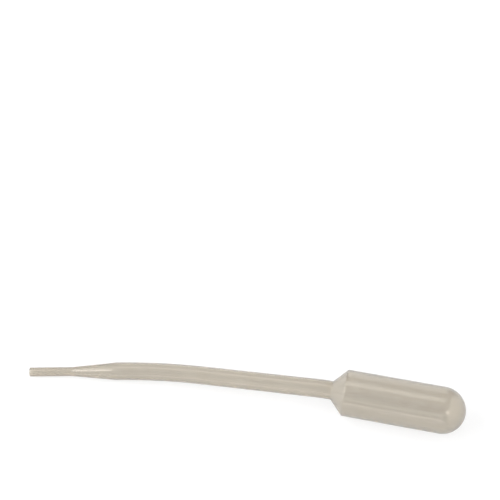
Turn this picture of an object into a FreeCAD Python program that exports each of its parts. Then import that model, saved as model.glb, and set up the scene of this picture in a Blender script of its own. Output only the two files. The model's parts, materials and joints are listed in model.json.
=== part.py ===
import FreeCAD, Part
import math
import os

# A plastic dropper pipette, blow-moulded in one piece from soft polyethylene: a round-ended
# bulb, a sloping shoulder, a long stem, a taper and a fine open tip, with one wall all round.
# It lies on its side on z = 0. The bulb points along +X and touches along its underside. The
# stem reaches back towards -X, droops until the tip touches too, and has a long bend to the
# side that leans a little upwards, so the stem's foot comes down to rest as well.
# All sizes are in millimetres and all angles in degrees.

OVERALL_LENGTH = 150.0      # from the mouth of the tip to the end of the bulb, along the centre line

BULB_RADIUS = 7.87          # outside of the barrel and of the round end
BULB_WALL = 0.5
SHOULDER_LENGTH = 4.45      # slope between stem and barrel, along the axis
SHOULDER_ROUNDING = 0.6     # outside edge between slope and barrel
NECK_ROUNDING = 0.7         # outside corner between stem and slope

STEM_LENGTH = 75.0          # from the shoulder to the taper
STEM_TOP_RADIUS = 3.16      # outside, from the shoulder to the end of the knee
STEM_FOOT_RADIUS = 3.05     # outside, from the start of the sideways bend to the taper
STEM_WALL = 0.6

TAPER_LENGTH = 15.4
TIP_LENGTH = 14.6           # straight end that enters a vessel or takes a tube
TIP_RADIUS = 1.57           # outside
TIP_BORE_RADIUS = 0.9

KNEE_DISTANCE = 3.0         # from the shoulder down to the knee where the stem starts to droop
KNEE_TURN = 1.75            # sideways turn at the knee, as well as the droop
KNEE_BEND_RADIUS = 40.0     # rounding of the knee, along the centre line
SIDE_BEND_RADIUS = 192.0    # long sideways bend of the stem, along the centre line
SIDE_BEND_LENGTH = 31.0     # how much of the stem it takes in, up from the taper
SIDE_BEND_LEAN = 7.75       # how far the sideways bend leans up from level

MOUTH_OVERSHOOT = 1.0       # how far the bore's cutting solid runs out past the mouth

BARREL_LENGTH = (OVERALL_LENGTH - TIP_LENGTH - TAPER_LENGTH - STEM_LENGTH
                 - SHOULDER_LENGTH - BULB_RADIUS)
SHOULDER_SLOPE = (BULB_RADIUS - STEM_TOP_RADIUS) / SHOULDER_LENGTH
SIDE_BEND_START = STEM_LENGTH - KNEE_DISTANCE - SIDE_BEND_LENGTH     # measured from the knee
SIDE_BEND_ANGLE = math.degrees(SIDE_BEND_LENGTH / SIDE_BEND_RADIUS)

ORIGIN = FreeCAD.Vector(0, 0, 0)
X_AXIS = FreeCAD.Vector(1, 0, 0)
Y_AXIS = FreeCAD.Vector(0, 1, 0)
Z_AXIS = FreeCAD.Vector(0, 0, 1)
KNEE = -X_AXIS * KNEE_DISTANCE


def droop_angle():
    """Droop at the knee that brings the underside of the tip level with the bulb's underside."""
    bend = math.radians(SIDE_BEND_ANGLE)
    below = TAPER_LENGTH + TIP_LENGTH
    reach = SIDE_BEND_START + SIDE_BEND_RADIUS * math.sin(bend) + below * math.cos(bend)
    aside = SIDE_BEND_RADIUS * (1 - math.cos(bend)) + below * math.sin(bend)
    lift = aside * math.sin(math.radians(SIDE_BEND_LEAN)) - TIP_RADIUS
    return math.degrees(math.asin(BULB_RADIUS / math.hypot(reach, lift)) + math.atan2(lift, reach))


def turned_at_knee(piece, knee):
    """Turns a piece that leaves the knee level along -X to the way the stem goes."""
    piece.rotate(knee, Y_AXIS, -droop_angle())
    piece.rotate(knee, Z_AXIS, KNEE_TURN)
    return piece


def stem_heading():
    """Unit direction of the stem as it leaves the knee."""
    return turned_at_knee(Part.makeLine(ORIGIN, -X_AXIS), ORIGIN).Vertexes[1].Point


def knee_tangent():
    """Distance from the knee's corner to each end of its rounding."""
    return KNEE_BEND_RADIUS * math.tan(stem_heading().getAngle(-X_AXIS) / 2)


def corner_arc(before, corner, after, radius):
    """Arc that rounds one corner of an outline, from tangent point to tangent point."""
    back = (before - corner).normalize()
    onward = (after - corner).normalize()
    half_angle = back.getAngle(onward) / 2
    to_tangent = radius / math.tan(half_angle)
    to_middle = radius / math.sin(half_angle) - radius
    middle = corner + (back + onward).normalize() * to_middle
    return Part.Arc(corner + back * to_tangent, middle, corner + onward * to_tangent).toShape()


def bulb(bulb_wall, stem_wall):
    """Neck, shoulder, barrel and round end about the X axis, each drawn in by its wall."""
    neck = STEM_TOP_RADIUS - stem_wall
    barrel = BULB_RADIUS - bulb_wall
    set_back = bulb_wall * math.hypot(1, SHOULDER_SLOPE)
    slope_start = (neck + set_back - STEM_TOP_RADIUS) / SHOULDER_SLOPE
    slope_end = (barrel + set_back - STEM_TOP_RADIUS) / SHOULDER_SLOPE
    centre = SHOULDER_LENGTH + BARREL_LENGTH
    diagonal = barrel * math.sqrt(0.5)

    neck_top = FreeCAD.Vector(knee_tangent() - KNEE_DISTANCE, 0, 0)
    neck_edge = neck_top + Z_AXIS * neck
    slope_foot = FreeCAD.Vector(slope_start, 0, neck)
    slope_head = FreeCAD.Vector(slope_end, 0, barrel)
    barrel_end = FreeCAD.Vector(centre, 0, barrel)
    end = FreeCAD.Vector(centre + barrel, 0, 0)

    neck_arc = corner_arc(neck_edge, slope_foot, slope_head, NECK_ROUNDING + bulb_wall)
    shoulder_arc = corner_arc(slope_foot, slope_head, barrel_end, SHOULDER_ROUNDING - bulb_wall)
    round_end = Part.Arc(barrel_end, FreeCAD.Vector(centre + diagonal, 0, diagonal), end)
    outline = [
        Part.makeLine(neck_top, neck_edge),
        Part.makeLine(neck_edge, neck_arc.firstVertex().Point),
        neck_arc,
        Part.makeLine(neck_arc.lastVertex().Point, shoulder_arc.firstVertex().Point),
        shoulder_arc,
        Part.makeLine(shoulder_arc.lastVertex().Point, barrel_end),
        round_end.toShape(),
        Part.makeLine(end, neck_top),
    ]
    return Part.Face(Part.Wire(outline)).revolve(ORIGIN, X_AXIS, 360)


def bent_bar(start, heading, towards, bend_radius, angle, radius):
    """Round bar that leaves start along its heading and bends towards one side."""
    section = Part.Face(Part.Wire([Part.Circle(start, heading, radius).toShape()]))
    return section.revolve(start + towards * bend_radius, heading.cross(towards), angle)


def knee_bend(radius):
    """Rounded bend from the level neck to the drooping stem."""
    heading = -X_AXIS
    bend_axis = heading.cross(stem_heading()).normalize()
    angle = math.degrees(stem_heading().getAngle(heading))
    start = KNEE + X_AXIS * knee_tangent()
    return bent_bar(start, heading, bend_axis.cross(heading), KNEE_BEND_RADIUS, angle, radius)


def stem(wall, tip_radius, overshoot):
    """Stem from the knee at the origin on, taper and tip, along +X and then bent towards +Y."""
    top = STEM_TOP_RADIUS - wall
    foot = STEM_FOOT_RADIUS - wall
    bend_end = math.radians(SIDE_BEND_ANGLE)
    heading = FreeCAD.Vector(math.cos(bend_end), math.sin(bend_end), 0)
    upper_start = X_AXIS * knee_tangent()
    bend_start = X_AXIS * SIDE_BEND_START
    along_bend = X_AXIS * math.sin(bend_end) + Y_AXIS * (1 - math.cos(bend_end))
    taper_start = bend_start + along_bend * SIDE_BEND_RADIUS
    tip_start = taper_start + heading * TAPER_LENGTH
    upper_length = SIDE_BEND_START - knee_tangent()
    return [
        Part.makeCone(top, foot, upper_length, upper_start, X_AXIS),
        bent_bar(bend_start, X_AXIS, Y_AXIS, SIDE_BEND_RADIUS, SIDE_BEND_ANGLE, foot),
        Part.makeCone(foot, tip_radius, TAPER_LENGTH, taper_start, heading),
        Part.makeCylinder(tip_radius, TIP_LENGTH + overshoot, tip_start, heading),
    ]


def pipette_shape(bulb_wall, stem_wall, tip_radius, overshoot):
    """The whole form in its lying place, as one solid."""
    pieces = [bulb(bulb_wall, stem_wall), knee_bend(STEM_TOP_RADIUS - stem_wall)]
    for piece in stem(stem_wall, tip_radius, overshoot):
        piece.rotate(ORIGIN, X_AXIS, SIDE_BEND_LEAN)
        piece.rotate(ORIGIN, Z_AXIS, 180)
        piece.translate(KNEE)
        pieces.append(turned_at_knee(piece, KNEE))
    return pieces[0].fuse(pieces[1:])


outside = pipette_shape(0, 0, TIP_RADIUS, 0)
inside = pipette_shape(BULB_WALL, STEM_WALL, TIP_BORE_RADIUS, MOUTH_OVERSHOOT)
pipette = outside.cut(inside)

box = pipette.optimalBoundingBox(False)
pipette.translate(FreeCAD.Vector(-(box.XMin + box.XMax) / 2, -(box.YMin + box.YMax) / 2, -box.ZMin))

os.makedirs("parts", exist_ok=True)
pipette.exportStep("parts/pipette.step")
print("solids", len(pipette.Solids), "faces", len(pipette.Faces), "valid", pipette.isValid())
print("volume", round(pipette.Volume, 1))
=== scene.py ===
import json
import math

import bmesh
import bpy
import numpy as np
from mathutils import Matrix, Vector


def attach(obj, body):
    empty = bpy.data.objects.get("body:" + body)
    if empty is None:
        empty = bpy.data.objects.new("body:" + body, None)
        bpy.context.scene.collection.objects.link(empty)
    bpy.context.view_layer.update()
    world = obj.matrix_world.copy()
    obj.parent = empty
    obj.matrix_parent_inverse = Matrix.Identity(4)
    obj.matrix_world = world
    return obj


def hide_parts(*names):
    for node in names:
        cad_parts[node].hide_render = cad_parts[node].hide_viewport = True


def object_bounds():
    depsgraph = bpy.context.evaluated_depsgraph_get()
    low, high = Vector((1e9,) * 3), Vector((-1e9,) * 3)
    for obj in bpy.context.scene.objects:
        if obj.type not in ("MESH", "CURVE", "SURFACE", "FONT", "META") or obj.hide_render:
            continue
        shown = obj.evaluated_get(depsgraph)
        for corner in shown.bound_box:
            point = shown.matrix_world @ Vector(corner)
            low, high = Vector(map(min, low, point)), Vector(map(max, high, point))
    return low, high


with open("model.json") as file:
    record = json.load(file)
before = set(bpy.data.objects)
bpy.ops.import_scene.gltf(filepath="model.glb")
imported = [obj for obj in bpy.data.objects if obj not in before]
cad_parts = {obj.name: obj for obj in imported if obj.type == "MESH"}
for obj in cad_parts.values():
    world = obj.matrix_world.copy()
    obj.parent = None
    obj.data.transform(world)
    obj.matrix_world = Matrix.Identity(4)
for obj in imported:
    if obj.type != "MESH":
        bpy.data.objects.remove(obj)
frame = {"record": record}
cad_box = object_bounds()

# %% [markdown]
# # A plastic dropper pipette
# One piece of soft, milky polyethylene: a round-ended bulb that is squeezed, a sloping
# shoulder, a long stem, a taper and a fine open tip. The CAD model gives where it lies and
# how big it is. This lesson rebuilds its skin finely enough to carry the marks of its making,
# gives it a translucent plastic finish, and lights it on a white table.

MM = 0.001
print("CAD box, mm:", [round(v / MM, 2) for corner in cad_box for v in corner])

# %% [markdown]
# ## Where the parts of the pipette are
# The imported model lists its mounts: the barrel of the bulb and the straight tip, each with a
# place, a direction, a radius and a length. They fix both ends of the pipette exactly. The
# stem between them is two straight runs, which meet at a slight knee just below the shoulder
# and at a long gentle bend further down.

# %% The two ends, from the model's mounts
mounts = {mount["name"]: mount for mount in frame["record"]["mounts"]}
barrel = mounts["bulb_barrel"]
tip = mounts["tip_outside"]

bulb_radius = barrel["dims"]["r_mm"] * MM
bulb_direction = Vector(barrel["axis"]).normalized()
half_barrel = bulb_direction * (barrel["dims"]["length_mm"] * MM / 2)
dome_centre = Vector(barrel["pos_m"]) + half_barrel
barrel_start = Vector(barrel["pos_m"]) - half_barrel
apex = dome_centre + bulb_direction * bulb_radius

tip_radius = tip["dims"]["r_mm"] * MM
tip_length = tip["dims"]["length_mm"] * MM
tip_direction = Vector(tip["axis"]).normalized()
mouth = Vector(tip["pos_m"])
bore_radius = mounts["tip_bore"]["dims"]["r_mm"] * MM
print("end to end, mm:", round((apex - mouth).length / MM, 2))

# %% The corners and sizes of the stem between them
BARREL_END = 0.26 * MM              # last bit of the barrel, past its mount, with the corner
SHOULDER_LENGTH = 4.45 * MM         # slope between the barrel and the stem
KNEE_DISTANCE = 3 * MM              # from the foot of the shoulder to the knee
KNEE_RADIUS = 40 * MM
BEND_ABOVE_MOUTH = 45.53 * MM       # from the mouth up to where the two stem runs would cross
BEND_RADIUS = 192 * MM
STEM_TOP_RADIUS = 3.16 * MM
STEM_FOOT_RADIUS = 3.05 * MM
TAPER_LENGTH = 15.4 * MM

knee = barrel_start - bulb_direction * (BARREL_END + SHOULDER_LENGTH + KNEE_DISTANCE)
bend = mouth - tip_direction * BEND_ABOVE_MOUTH
print("knee to bend, mm:", round((bend - knee).length / MM, 2))

# %% [markdown]
# ## Rounded outlines
# The pipette's centre line and the outline of its wall are both straight runs with rounded
# corners. One helper makes either: it swaps each corner for an arc that is tangent to both
# runs, and then cuts everything into short steps. An arc is stepped by its turn and not by
# its length, because the light would show flat facets there.

# %% A helper that rounds the corners of a run of straight lines
def rounded(corners, radii, step, arc_step):
    """Points along straight runs, with an arc at each inner corner, stepped in degrees."""
    points = [Vector(corners[0])]
    for i in range(1, len(corners) - 1):
        corner = Vector(corners[i])
        radius = radii[i - 1]
        back = (Vector(corners[i - 1]) - corner).normalized()
        onward = (Vector(corners[i + 1]) - corner).normalized()
        turn = math.pi - back.angle(onward)
        first = corner + back * (radius * math.tan(turn / 2))
        centre = corner + (back + onward).normalized() * (radius / math.cos(turn / 2))
        side = (first - centre).normalized()
        points += steps_between(points[-1], first, step)
        arc_steps = max(2, math.ceil(math.degrees(turn) / arc_step))
        for k in range(1, arc_steps + 1):
            angle = turn * k / arc_steps
            out = side * math.cos(angle) - back * math.sin(angle)
            points.append(centre + out * radius)
    points += steps_between(points[-1], Vector(corners[-1]), step)
    return points


def steps_between(start, end, step):
    """Evenly spaced points from start, which is left out, to end."""
    count = max(1, math.ceil((end - start).length / step))
    return [start.lerp(end, k / count) for k in range(1, count + 1)]


# %% The centre line, from the bulb's round end to the mouth
LINE_STEP = 0.5 * MM
LINE_ARC_STEP = 0.2      # degrees

centre_line = rounded([apex, knee, bend, mouth], [KNEE_RADIUS, BEND_RADIUS], LINE_STEP,
                      LINE_ARC_STEP)
line_points = np.array([tuple(p) for p in centre_line])
line_reach = np.concatenate(
    [[0], np.cumsum(np.linalg.norm(np.diff(line_points, axis=0), axis=1))])
full_length = line_reach[-1]
print("centre line, mm:", round(full_length / MM, 2), "in", len(centre_line), "points")

# %% [markdown]
# ## The wall's outline
# Seen as a turned shape, the wall is a list of pairs: how far along the centre line, and how
# far out from it. The round end is a true hemisphere. The shoulder meets the barrel at a
# tight corner, as the mould's edge is, and the taper's corners are soft. The inside follows
# at the thickness of the wall: soft polyethylene is blown thinner in the bulb than it is in
# the stem, which keeps the thickness of the tube it was blown from. Air pressure rounds the
# inside of the shoulder's corner as much as the outside, so the wall is a little thicker
# there, and no sharp inner edge shows through as a dark ring.

# %% Outside and inside outlines
BULB_WALL = 0.5 * MM
STEM_WALL = 0.6 * MM
SHOULDER_ROUNDING = 0.6 * MM
NECK_ROUNDING = 0.7 * MM
TAPER_ROUNDING = 12 * MM
OUTLINE_STEP = 0.75 * MM
OUTLINE_ARC_STEP = 6.0   # degrees
DOME_STEP = 3            # degrees


def dome_outline(radius):
    """Pairs for the bulb's round end, from just beside the apex to just before the barrel."""
    pairs = []
    for degrees in range(DOME_STEP, 90, DOME_STEP):
        angle = math.radians(degrees)
        pairs.append((bulb_radius - radius * math.cos(angle), radius * math.sin(angle)))
    return pairs


def wall_outline(bulb_wall, stem_wall, tip_out):
    """Pairs (distance from the apex, radius) of a surface this far inside the outer one."""
    bulb_out = bulb_radius - bulb_wall
    top_out = STEM_TOP_RADIUS - stem_wall
    foot_out = STEM_FOOT_RADIUS - stem_wall
    shoulder_top = bulb_radius + (dome_centre - barrel_start).length + BARREL_END
    slope = (bulb_radius - STEM_TOP_RADIUS) / SHOULDER_LENGTH
    # the slope's own wall is as thick as the bulb's, measured square to the slope
    set_back = bulb_wall * math.hypot(1, slope)
    slope_top = shoulder_top + (bulb_radius - bulb_out - set_back) / slope
    slope_foot = shoulder_top + (bulb_radius - top_out - set_back) / slope
    taper_end = full_length - tip_length
    # the outline is drawn flat: first how far along, last how far out
    corners = [
        (bulb_radius, 0, bulb_out),
        (slope_top, 0, bulb_out),
        (slope_foot, 0, top_out),
        (taper_end - TAPER_LENGTH, 0, foot_out),
        (taper_end, 0, tip_out),
        (full_length, 0, tip_out),
    ]
    radii = [SHOULDER_ROUNDING, NECK_ROUNDING + bulb_wall, TAPER_ROUNDING, TAPER_ROUNDING]
    body = rounded(corners, radii, OUTLINE_STEP, OUTLINE_ARC_STEP)
    return dome_outline(bulb_out) + [(p.x, p.z) for p in body]


outside = wall_outline(0, 0, tip_radius)
inside = wall_outline(BULB_WALL, STEM_WALL, bore_radius)
print("stations outside and inside:", len(outside), len(inside))

# %% [markdown]
# ## Sweeping the outline round the centre line
# Each pair of the outline becomes a ring of points, square to the centre line. A ring's
# zero angle has to point the same way all along, or the skin would twist, so the direction
# is carried from ring to ring and only ever tipped with the line. The points are not evenly
# spaced: extra ones crowd round the two mould parting lines, which are far finer than the
# rest of the skin.

# %% Direction and place anywhere on the centre line
def carried_frames():
    """Tangent and a steady upward direction at each point of the centre line."""
    tangents = np.gradient(line_points, axis=0)
    tangents /= np.linalg.norm(tangents, axis=1)[:, None]
    upward = np.array([0.0, 0.0, 1.0])
    ups = []
    for tangent in tangents:
        upward = upward - tangent * upward.dot(tangent)
        upward /= np.linalg.norm(upward)
        ups.append(upward.copy())
    return tangents, np.array(ups)


line_tangents, line_ups = carried_frames()
turned = math.degrees(math.acos(line_tangents[0].dot(line_tangents[-1])))
print("the line turns, from end to end, by degrees:", round(turned, 2))


def read_along(values, distance):
    """Reads a list of directions or places, kept along the centre line, at a distance."""
    return np.array([np.interp(distance, line_reach, values[:, i]) for i in range(3)])


def on_line(distance):
    """Centre, upward and sideways directions this far from the apex."""
    centre = read_along(line_points, distance)
    tangent = read_along(line_tangents, distance)
    upward = read_along(line_ups, distance)
    tangent /= np.linalg.norm(tangent)
    upward -= tangent * upward.dot(tangent)
    upward /= np.linalg.norm(upward)
    return centre, upward, np.cross(tangent, upward)


# %% Angles of the ring's points, crowded at the parting lines
PARTING_TILT = 69.0      # degrees from the top, over towards the side that the stem bends to
EVEN_POINTS = 112        # round a ring, before the crowded ones take the place of some
CROWD = [-4.0, -2.6, -1.6, -1.0, -0.5, 0.0, 0.5, 1.0, 1.6, 2.6, 4.0]     # degrees
CROWD_REACH = 5.2        # degrees either side of a line, where the even points are left out

parting_angles = (PARTING_TILT, PARTING_TILT + 180)


def near_parting(angle):
    """True where the crowded points stand in for the even ones."""
    return any(abs((angle - line + 180) % 360 - 180) < CROWD_REACH for line in parting_angles)


even = [360 / EVEN_POINTS * k for k in range(EVEN_POINTS)]
angles = [line + offset for line in parting_angles for offset in CROWD]
angles += [angle for angle in even if not near_parting(angle)]
ring_angles = np.radians(sorted(angle % 360 for angle in angles))
print("points round each ring:", len(ring_angles))


# %% One ring
def ring_of_points(centre, upward, sideways, radius):
    """Points round a centre; the radius is one number, or one for each point."""
    return (centre + np.outer(np.cos(ring_angles) * radius, upward)
            + np.outer(np.sin(ring_angles) * radius, -sideways))


# %% [markdown]
# ## The marks of the mould
# A blow-moulded tube is never a perfect cylinder. Where the two mould halves meet, a fine
# raised line runs down both sides and over the end of the bulb, which was pinched shut
# there. Between the lines the thin wall cools unevenly and waves by a few hundredths of a
# millimetre, just enough to bend a reflection. Both are small changes of radius, worked out
# from where a point is along and around the pipette.

# %% Where the bulb's marks give way to the stem's fainter ones
BULB_MARKS_END = 46 * MM     # along the centre line, from the apex


def share_of_bulb(along, fade):
    """One on the bulb and nought on the stem, changing softly over a few times the fade."""
    return 1 / (1 + math.exp((along - BULB_MARKS_END) / fade))


# %% The raised parting lines
RIDGE_HEIGHT = 0.035 * MM
RIDGE_HALF_WIDTH = 0.22 * MM
RIDGE_FADE = 1.5 * MM
RIDGE_ON_STEM = 0.35         # its height there, as a share of its height on the bulb
RIDGE_NARROWS = 0.4 * MM     # on rings smaller than this, the ridge narrows with the ring


def parting_ridge(along, around, radius):
    """Raised line on both sides, a rounded hump across a fraction of a millimetre."""
    lift = np.zeros_like(around)
    for line in parting_angles:
        apart = (around - math.radians(line) + math.pi) % (2 * math.pi) - math.pi
        across = np.abs(apart) * max(radius, RIDGE_NARROWS)
        lift += np.exp(-((across / RIDGE_HALF_WIDTH) ** 2) * 2)
    height = RIDGE_ON_STEM + (1 - RIDGE_ON_STEM) * share_of_bulb(along, RIDGE_FADE)
    return RIDGE_HEIGHT * lift * height


# %% The slow waves of the wall
WAVE_HEIGHT = 0.02 * MM
WAVE_RUN = 9 * MM            # along the tube, for each radian of a wave's turn
WAVE_FADE = 2 * MM
WAVES_ON_STEM = 0.25         # their height there, as a share of their height on the bulb
WAVES_FULL = 2 * MM          # on rings smaller than this, the waves shrink with the ring
# each wave: its share, how often it goes round, how fast it turns, and where it starts
WAVES = [(0.45, 3, 1.0, 0.0), (0.35, 5, -1.7, 1.1), (0.20, 2, 0.6, 2.3)]


def wall_waves(along, around, radius):
    """Slow unevenness of the blown wall, always inwards from the true radius."""
    wave = sum(share * np.sin(times * around + speed * along / WAVE_RUN + start)
               for share, times, speed, start in WAVES)
    height = WAVES_ON_STEM + (1 - WAVES_ON_STEM) * share_of_bulb(along, WAVE_FADE)
    return WAVE_HEIGHT * (wave * height - 1) * min(1.0, radius / WAVES_FULL)


# %% Rings of points for one surface
def surface_rings(outline, marked):
    """Rings of points for an outline, and each point's place on the straightened tube."""
    rings = []
    places = []
    for along, radius in outline:
        out = np.full(len(ring_angles), radius)
        if marked:
            out += wall_waves(along, ring_angles, radius)
            out += parting_ridge(along, ring_angles, radius)
        rings.append(ring_of_points(*on_line(along), out))
        places.append(np.stack([np.cos(ring_angles) * radius, np.sin(ring_angles) * radius,
                                np.full(len(ring_angles), along)], axis=1))
    return rings, places


outer_rings, outer_places = surface_rings(outside, marked=True)
inner_rings, inner_places = surface_rings(inside, marked=False)
print("rings outside and inside:", len(outer_rings), len(inner_rings))

# %% [markdown]
# ## One closed skin
# The outside runs from the apex down to the mouth, turns over the cut edge of the tip and
# goes back up the inside to the apex, so the wall is a real, closed wall with thickness.
# The knife leaves the mouth's edge square but not sharp: a small rounding catches the light.

# %% The cut edge of the mouth
EDGE_ROUNDING = 0.07 * MM
EDGE_STARTS = 1.5 * EDGE_ROUNDING    # back from the mouth, where both walls stop
HALF_ROUND_IN = 0.3                  # one ring part-way round the edge: this far in ...
HALF_ROUND_BACK = 0.7                # ... and this far back, as shares of the rounding


def mouth_rings():
    """Rings over the cut end of the tip, from the outside edge in to the bore."""
    centre, upward, sideways = on_line(full_length)
    stations = [
        (tip_radius - HALF_ROUND_IN * EDGE_ROUNDING, HALF_ROUND_BACK),
        (tip_radius - EDGE_ROUNDING, 0.0),
        ((tip_radius + bore_radius) / 2, 0.0),
        (bore_radius + EDGE_ROUNDING, 0.0),
        (bore_radius + HALF_ROUND_IN * EDGE_ROUNDING, HALF_ROUND_BACK),
    ]
    rounding = np.array(tip_direction) * EDGE_ROUNDING
    return [ring_of_points(centre - rounding * back, upward, sideways, radius)
            for radius, back in stations]


def cut_back(rings):
    """The rings of a surface, with the last one drawn back to leave room for the edge."""
    return rings[:-1] + [rings[-1] - np.array(tip_direction) * EDGE_STARTS]


mouth_edge = mouth_rings()
all_rings = cut_back(outer_rings) + mouth_edge + cut_back(inner_rings)[::-1]
all_places = outer_places + [outer_places[-1]] * len(mouth_edge) + inner_places[::-1]
print("rings in all:", len(all_rings))


# %% Faces between the rings
def skin_faces(ring_count, ring_size):
    """Four-sided faces from ring to ring, and a fan of triangles at each of the two ends."""
    faces = []
    for i in range(ring_count - 1):
        ring = i * ring_size
        next_ring = ring + ring_size
        for k in range(ring_size):
            after = (k + 1) % ring_size
            faces.append((ring + k, ring + after, next_ring + after, next_ring + k))
    outer_end = ring_count * ring_size
    inner_end = outer_end + 1
    last_ring = outer_end - ring_size
    for k in range(ring_size):
        after = (k + 1) % ring_size
        faces.append((outer_end, after, k))
        faces.append((inner_end, last_ring + k, last_ring + after))
    return faces


# %% The whole wall as one mesh, with each point's straightened place as an attribute
ends = np.array([apex, apex - bulb_direction * BULB_WALL])      # outside and inside
points = np.concatenate(all_rings + [ends])
straightened = np.concatenate(all_places + [np.zeros_like(ends)])

skin = bpy.data.meshes.new("pipette_skin")
skin.from_pydata(points.tolist(), [], skin_faces(len(all_rings), len(ring_angles)))
attribute = skin.attributes.new("straightened", "FLOAT_VECTOR", "POINT")
attribute.data.foreach_set("vector", straightened.astype(np.float32).ravel())
skin.validate()

# %% Turn every face outwards and measure the wall
shell = bmesh.new()
shell.from_mesh(skin)
bmesh.ops.recalc_face_normals(shell, faces=shell.faces)
shell.to_mesh(skin)
open_edges = sum(1 for edge in shell.edges if not edge.is_manifold)
volume = abs(shell.calc_volume()) / MM ** 3
print("faces", len(shell.faces), "open edges", open_edges, "volume mm3", round(volume, 1))
shell.free()
skin.shade_smooth()

# %% Set it in the place of the CAD model's plain skin
pipette = bpy.data.objects.new("pipette_skin", skin)
bpy.context.scene.collection.objects.link(pipette)
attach(pipette, "root")
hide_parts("pipette")
print("in place of the plain skin:", pipette.name)

# %% [markdown]
# ## Helpers for nodes
# Three node trees follow: the plastic, the table and the studio around them. A few helpers
# keep them readable. One adds a node and sets its inputs by name. The next adds a Math node
# whose terms are numbers or other nodes' outputs, and the third maps one range onto another.
# The last writes out a grey.

# %% Helpers for nodes
def node(tree, kind, label, **values):
    """Adds a node to a tree and sets its inputs by name."""
    made = tree.nodes.new(kind)
    made.label = label
    for name, value in values.items():
        made.inputs[name.replace("_", " ")].default_value = value
    return made


def arithmetic(tree, operation, label, *terms):
    """Adds a Math node and gives its output; a term is a number or another node's output."""
    made = node(tree, "ShaderNodeMath", label)
    made.operation = operation
    for socket, term in zip(made.inputs, terms):
        if isinstance(term, (int, float)):
            socket.default_value = term
        else:
            tree.links.new(term, socket)
    return made.outputs["Value"]


def remapped(tree, label, value, source, target, smooth=False):
    """Maps an output's range, source, onto another range, target, and gives the result."""
    made = node(tree, "ShaderNodeMapRange", label, From_Min=source[0], From_Max=source[1],
                To_Min=target[0], To_Max=target[1])
    if smooth:
        made.interpolation_type = "SMOOTHSTEP"
    tree.links.new(value, made.inputs["Value"])
    return made.outputs["Result"]


def grey(level):
    """A colour without hue."""
    return (level, level, level, 1)


# %% [markdown]
# ## Milky polyethylene
# This plastic is clear at heart and clouded by countless tiny crystals, so light goes
# through the thin wall, but blurred and a little warmed, and some of it is thrown back as
# from wax. Subsurface scattering could make it, but it is slow and grainy in a wall half a
# millimetre thick. A mix of translucent and glossy shaders could too, but no other program
# reads it. So one Principled shader does the work: most of its weight is transmission
# with a rough body, which is the blur, and the rest is plain diffuse, which is the wax.
# Absorption inside the wall takes out a little blue, more where light runs along the wall
# at the outline, as in the real thing. The mould's polish lies over this as a clear
# coat, which keeps reflections crisp.

# %% The shader and the inside of the wall
plastic = bpy.data.materials.new("milky_polyethylene")
plastic.use_nodes = True
plastic_tree = plastic.node_tree
plastic_tree.nodes.clear()

output = node(plastic_tree, "ShaderNodeOutputMaterial", "Output")
shader = node(plastic_tree, "ShaderNodeBsdfPrincipled", "Plastic", Metallic=0.0, IOR=1.51,
              Transmission_Weight=0.85, Coat_Roughness=0.05, Specular_Tint=(1.0, 0.96, 0.89, 1))
absorbing = node(plastic_tree, "ShaderNodeVolumeAbsorption", "Warm grey inside the wall",
                 Color=(0.909, 0.882, 0.829, 1), Density=3680.0)
plastic_tree.links.new(shader.outputs["BSDF"], output.inputs["Surface"])
plastic_tree.links.new(absorbing.outputs["Volume"], output.inputs["Volume"])
skin.materials.append(plastic)
print("material on the skin:", skin.materials[0].name)

# %% [markdown]
# ## Clouding and drawn lines
# The tube was drawn out of a die, which leaves faint lines along its whole length, and
# the plastic clouds more in some places than in others. Both come from noise. Read in
# ordinary coordinates, the lines would cut across the stem where it bends, so they are
# read in the straightened-out place that the skin carries, squeezed to a fiftieth along
# its length. The stem cooled faster than the bulb did, so it has fewer crystals and is a
# little clearer.

# %% The place on the straightened tube, and the two noises read there
DRAWN_OUT = 50           # how many times longer than they are wide the lines become

place = node(plastic_tree, "ShaderNodeAttribute", "Straightened place")
place.attribute_name = "straightened"
drawn_out = node(plastic_tree, "ShaderNodeMapping", "Drawn out along the tube",
                 Scale=(1, 1, 1 / DRAWN_OUT))
plastic_tree.links.new(place.outputs["Vector"], drawn_out.inputs["Vector"])
along = node(plastic_tree, "ShaderNodeSeparateXYZ", "Along the tube")
plastic_tree.links.new(place.outputs["Vector"], along.inputs["Vector"])


def noise(label, vector, **values):
    """Adds a noise texture read at a vector and gives its value."""
    made = node(plastic_tree, "ShaderNodeTexNoise", label, **values)
    plastic_tree.links.new(vector, made.inputs["Vector"])
    return made.outputs["Fac"]


lines = noise("Drawn lines", drawn_out.outputs["Vector"], Scale=1400.0, Detail=3.0,
              Roughness=0.6)
patches = noise("Cloudy patches", place.outputs["Vector"], Scale=180.0, Detail=3.0,
                Roughness=0.5)

# %% Colour: from cloudy and warm to clear
STEM_STARTS = 45 * MM        # from the bulb's round end, along the centre line
CLEARS_OVER = 8 * MM
STEM_CLEARER = 0.17          # what the stem's clearness has over the bulb's
CLOUDY_AT = 0.22             # clearness at which the plastic is as cloudy as it gets
CLEAR_AT = 0.72              # and as clear as it gets
CLOUDY = (0.94, 0.915, 0.87, 1)
CLEAR = (1.0, 0.995, 0.985, 1)

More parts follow.
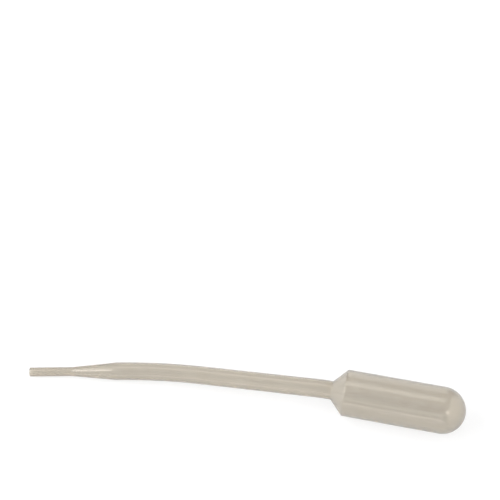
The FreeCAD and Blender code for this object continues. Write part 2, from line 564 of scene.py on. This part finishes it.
both_noises = arithmetic(plastic_tree, "ADD", "Both noises", lines, patches)
clearness = arithmetic(plastic_tree, "MULTIPLY", "Lines and patches", both_noises, 0.5)
clearer = remapped(plastic_tree, "Clearer in the stem", along.outputs["Z"],
                   (STEM_STARTS, STEM_STARTS + CLEARS_OVER), (0.0, STEM_CLEARER))
clearness = arithmetic(plastic_tree, "ADD", "Clearness", clearness, clearer)
tone = node(plastic_tree, "ShaderNodeValToRGB", "Warmer to clearer")
warm_stop, clear_stop = tone.color_ramp.elements
warm_stop.position = CLOUDY_AT
warm_stop.color = CLOUDY
clear_stop.position = CLEAR_AT
clear_stop.color = CLEAR
plastic_tree.links.new(clearness, tone.inputs["Fac"])
plastic_tree.links.new(tone.outputs["Color"], shader.inputs["Base Color"])
print("the stem clears from", round(STEM_STARTS / MM), "mm on")

# %% [markdown]
# ## Shine
# Polyethylene feels waxy. Its body is uneven and rather rough, under the smooth face that
# the mould gave it. Wax loses its shine when it is seen at a flat angle, where glass would
# turn into a mirror, so the polish fades out there. That leaves a dark, soft outline.

# %% Shine: an uneven body under a polish that is thinner in patches
NOISE_MIDDLE = (0.3, 0.7)    # the range that a noise value keeps to nearly everywhere
BODY_ROUGHNESS = (0.19, 0.25)
POLISH = (1.0, 0.9)          # weight of the clear coat, face on
WAXY = (0.5, 0.8)            # where the polish starts to fade, and where it ends

roughness = remapped(plastic_tree, "Body roughness", patches, NOISE_MIDDLE, BODY_ROUGHNESS)
plastic_tree.links.new(roughness, shader.inputs["Roughness"])

sight = node(plastic_tree, "ShaderNodeLayerWeight", "How flat the surface is seen", Blend=0.5)
grazing = remapped(plastic_tree, "Waxy at a flat angle", sight.outputs["Facing"], WAXY,
                   (1.0, 0.0))
polish = remapped(plastic_tree, "Polish", patches, NOISE_MIDDLE, POLISH)
gloss = arithmetic(plastic_tree, "MULTIPLY", "Gloss", polish, grazing)
plastic_tree.links.new(gloss, shader.inputs["Coat Weight"])
print("roughness of the body, from and to:", BODY_ROUGHNESS)

# %% Relief: the drawn lines again, with a fine skin texture
RELIEF_HEIGHT = 0.02 * MM
PEEL_SHARE = 0.5             # of the skin texture, to one of the drawn lines
RELIEF_ON_TIP = 0.15         # what is left of it past the taper
TAPER_STARTS = full_length - tip_length - TAPER_LENGTH

peel = noise("Skin texture", place.outputs["Vector"], Scale=2200.0, Detail=2.0)
relief = arithmetic(plastic_tree, "MULTIPLY_ADD", "Lines and skin", peel, PEEL_SHARE, lines)
fainter = remapped(plastic_tree, "Fainter on the tip", along.outputs["Z"],
                   (TAPER_STARTS, TAPER_STARTS + TAPER_LENGTH), (1.0, RELIEF_ON_TIP))
relief = arithmetic(plastic_tree, "MULTIPLY", "Relief here", relief, fainter)
bump = node(plastic_tree, "ShaderNodeBump", "Relief", Strength=0.25, Distance=RELIEF_HEIGHT)
plastic_tree.links.new(relief, bump.inputs["Height"])
plastic_tree.links.new(bump.outputs["Normal"], shader.inputs["Normal"])
print("plastic nodes:", len(plastic_tree.nodes))

# %% [markdown]
# ## The table
# The pipette lies on a plain pale table that runs out of sight. Part of its white is its
# own colour, and part is a light that only the camera, reflections and see-through rays
# meet. That part shows in the plastic and behind it, but doesn't light its milky body, and
# it leaves the soft shadow in place.

# %% A flat top, just under the pipette
FLOOR_SIZE = 3.0
FLOOR_GAP = 0.02 * MM        # between the table and the lowest point of the pipette

half = FLOOR_SIZE / 2
floor_mesh = bpy.data.meshes.new("table_top")
floor_mesh.from_pydata([(-half, -half, 0), (half, -half, 0), (half, half, 0), (-half, half, 0)],
                       [], [(0, 1, 2, 3)])
floor = bpy.data.objects.new("table_top", floor_mesh)
floor.location.z = cad_box[0].z - FLOOR_GAP
bpy.context.scene.collection.objects.link(floor)
print("table", FLOOR_SIZE, "m square")

# %% Its colour, and the white that only some rays meet
FLOOR_COLOUR = grey(0.35)
SEEN_GLOW = 0.74         # to the camera and in reflections
THROUGH_GLOW = 0.68      # through the plastic

table = bpy.data.materials.new("pale_table")
table.use_nodes = True
table_tree = table.node_tree
table_tree.nodes.clear()
matt = node(table_tree, "ShaderNodeBsdfDiffuse", "Matt pale top", Color=FLOOR_COLOUR)
path = node(table_tree, "ShaderNodeLightPath", "Kind of ray")
seen = arithmetic(table_tree, "MAXIMUM", "Camera or reflection",
                  path.outputs["Is Camera Ray"], path.outputs["Is Glossy Ray"])
seen = arithmetic(table_tree, "MULTIPLY", "Seen or mirrored", seen, SEEN_GLOW)
through = arithmetic(table_tree, "MULTIPLY", "Seen through the plastic",
                     path.outputs["Is Transmission Ray"], THROUGH_GLOW)
either = arithmetic(table_tree, "MAXIMUM", "Either", seen, through)
glow = node(table_tree, "ShaderNodeEmission", "White of its own")
table_tree.links.new(either, glow.inputs["Strength"])

both = node(table_tree, "ShaderNodeAddShader", "Both")
table_output = node(table_tree, "ShaderNodeOutputMaterial", "Output")
table_tree.links.new(matt.outputs["BSDF"], both.inputs[0])
table_tree.links.new(glow.outputs["Emission"], both.inputs[1])
table_tree.links.new(both.outputs["Shader"], table_output.inputs["Surface"])
floor_mesh.materials.append(table)
print("table nodes:", len(table_tree.nodes))

# %% [markdown]
# ## The studio
# Smooth plastic mirrors the room it is in. The long streaks on a bulb are the lamps, the
# walls and the gaps between them, seen in a very curved mirror, so an even white sky would
# leave it lifeless. The room here is an arc of brighter and darker bands, from the near
# horizon, over the top and down to the far one. The streaks stop where the bulb rounds off,
# because the bands end in a side wall to the left and in one to the right, which has a
# brighter end. The camera doesn't see the room itself: past the table's edge it sees white.

# %% The angle up from the near horizon, in each direction
world = bpy.data.worlds.new("studio")
bpy.context.scene.world = world
world.use_nodes = True
room_tree = world.node_tree
background = room_tree.nodes["Background"]

direction = node(room_tree, "ShaderNodeTexCoord", "Direction")
axes = node(room_tree, "ShaderNodeSeparateXYZ", "Across, along and up")
room_tree.links.new(direction.outputs["Generated"], axes.inputs["Vector"])
front = arithmetic(room_tree, "MULTIPLY", "Towards the near side", axes.outputs["Y"], -1.0)
angle_up = arithmetic(room_tree, "ARCTAN2", "Angle up from the near horizon",
                      axes.outputs["Z"], front)
share_of_arc = arithmetic(room_tree, "DIVIDE", "Half turn as one", angle_up, math.pi)
print("room nodes so far:", len(room_tree.nodes))

# %% The room's arc: from and to, in degrees up from the near horizon, and how bright
ARC = [
    (0, 4.5, 2.31), (4.5, 13, 0.82), (13, 20.5, 0.48), (20.5, 28, 1.12),
    (28, 36, 0.76), (36, 50, 0.33), (50, 64, 0.18), (64, 76, 0.32),
    (76, 86, 0.41), (86, 94, 0.20), (94, 110, 1.27), (110, 118, 1.04),
    (118, 136, 0.36), (136, 146, 0.43), (146, 166, 1.10), (166, 180, 1.28),
]
BAND_EDGE = 1.0          # degrees over which a band fades, on its own side of the border
WHOLE_ARC = 180          # degrees

stops = []
for first, last, brightness in ARC:
    stops.append((first + (BAND_EDGE if first > 0 else 0), brightness))
    stops.append((last - (BAND_EDGE if last < WHOLE_ARC else 0), brightness))

bands = node(room_tree, "ShaderNodeValToRGB", "Bands")
room_tree.links.new(share_of_arc, bands.inputs["Fac"])
elements = bands.color_ramp.elements
elements.remove(elements[-1])
for k, (degrees, brightness) in enumerate(stops):
    stop = elements[0] if k == 0 else elements.new(degrees / WHOLE_ARC)
    stop.position = degrees / WHOLE_ARC
    stop.color = grey(brightness)
print("bands:", len(ARC), "brightest:", max(brightness for _, _, brightness in ARC))

# %% A helper that covers part of the room with a plain colour
UNDER = 6                # a Mix node's sockets for colours: these are told apart by number,
OVER = 7                 # because those for numbers and vectors have the same names
MIXED = 2


def covered(label, under, share, brightness):
    """Lays a plain grey or white over a colour, where the share is one."""
    made = node(room_tree, "ShaderNodeMix", label)
    made.data_type = "RGBA"
    room_tree.links.new(share, made.inputs["Factor"])
    room_tree.links.new(under, made.inputs[UNDER])
    made.inputs[OVER].default_value = grey(brightness)
    return made.outputs[MIXED]


# %% The side walls: the direction each covers, where it begins and is whole, how bright it is
right = axes.outputs["X"]
left = arithmetic(room_tree, "MULTIPLY", "Towards the left", right, -1.0)
SIDE_WALLS = [
    ("Right, near", right, (0.08, 0.20), 0.40),
    ("Right, far", right, (0.40, 0.60), 1.19),
    ("Left", left, (0.28, 0.42), 0.60),
]

surroundings = bands.outputs["Color"]
for label, side, reach, brightness in SIDE_WALLS:
    share = remapped(room_tree, label + " begins", side, reach, (0.0, 1.0), smooth=True)
    surroundings = covered(label, surroundings, share, brightness)
print("side walls:", len(SIDE_WALLS))

# %% Past the table's edge the camera sees plain white
kind = node(room_tree, "ShaderNodeLightPath", "Kind of ray")
surroundings = covered("White to the camera", surroundings, kind.outputs["Is Camera Ray"], 1)
room_tree.links.new(surroundings, background.inputs["Color"])
background.inputs["Strength"].default_value = 1.0
print("room nodes:", len(room_tree.nodes))

# %% [markdown]
# ## Lamps
# The room gives most of the light, and its bands draw the long streaks. Two soft lamps do
# what the room can't. A small one on the near side puts the bright spot on the bulb's round
# end, and a larger one beyond the tip catches the slope and the edge of the shoulder.

# %% Two soft lamps
LAMP_DISTANCE = 0.6


def lamp(name, turn, height, target, size, power):
    """Soft square lamp facing a target, so many degrees round and up from the bulb's end."""
    level = math.cos(math.radians(height))
    towards = Vector((math.cos(math.radians(turn)) * level,
                      math.sin(math.radians(turn)) * level, math.sin(math.radians(height))))
    data = bpy.data.lights.new(name, "AREA")
    data.shape = "SQUARE"
    data.size = size
    data.energy = power
    made = bpy.data.objects.new(name, data)
    made.location = dome_centre + towards * LAMP_DISTANCE
    made.rotation_euler = (target - made.location).to_track_quat("-Z", "Y").to_euler()
    bpy.context.scene.collection.objects.link(made)
    print("lamp", name, "at", [round(v, 3) for v in made.location])


lamp("bulb_end", turn=-55, height=41.5, target=dome_centre, size=0.17, power=0.19)
lamp("shoulder", turn=-164, height=32, target=barrel_start, size=0.55, power=2.6)

# %% [markdown]
# ## Camera
# A long lens keeps the tube's sides nearly parallel. It looks down on the pipette from the
# side that the stem bends to, and from a little round towards the bulb.

# %% Camera
LENS = 86.76
SENSOR_WIDTH = 36.0
NEAREST_SEEN = 0.01
LOOK_DOWN = math.radians(49.5)
LOOK_ASIDE = math.radians(12.19)
DISTANCE = 456.5 * MM
AIM_ASIDE = -11.83 * MM      # from the middle of the pipette's box to where the camera aims
AIM_BEYOND = 63.53 * MM

middle = Vector(((cad_box[0].x + cad_box[1].x) / 2, (cad_box[0].y + cad_box[1].y) / 2, 0))
aim = middle + Vector((AIM_ASIDE, AIM_BEYOND, 0))
forward = Vector((-math.sin(LOOK_ASIDE) * math.cos(LOOK_DOWN),
                  math.cos(LOOK_ASIDE) * math.cos(LOOK_DOWN), -math.sin(LOOK_DOWN)))
camera_data = bpy.data.cameras.new("camera")
camera_data.lens = LENS
camera_data.sensor_width = SENSOR_WIDTH
camera_data.clip_start = NEAREST_SEEN
camera = bpy.data.objects.new("camera", camera_data)
camera.location = aim - forward * DISTANCE
camera.rotation_euler = forward.to_track_quat("-Z", "Y").to_euler()
bpy.context.scene.collection.objects.link(camera)
bpy.context.scene.camera = camera
bpy.context.scene.view_settings.view_transform = "Standard"
print("camera at", [round(v, 3) for v in camera.location])
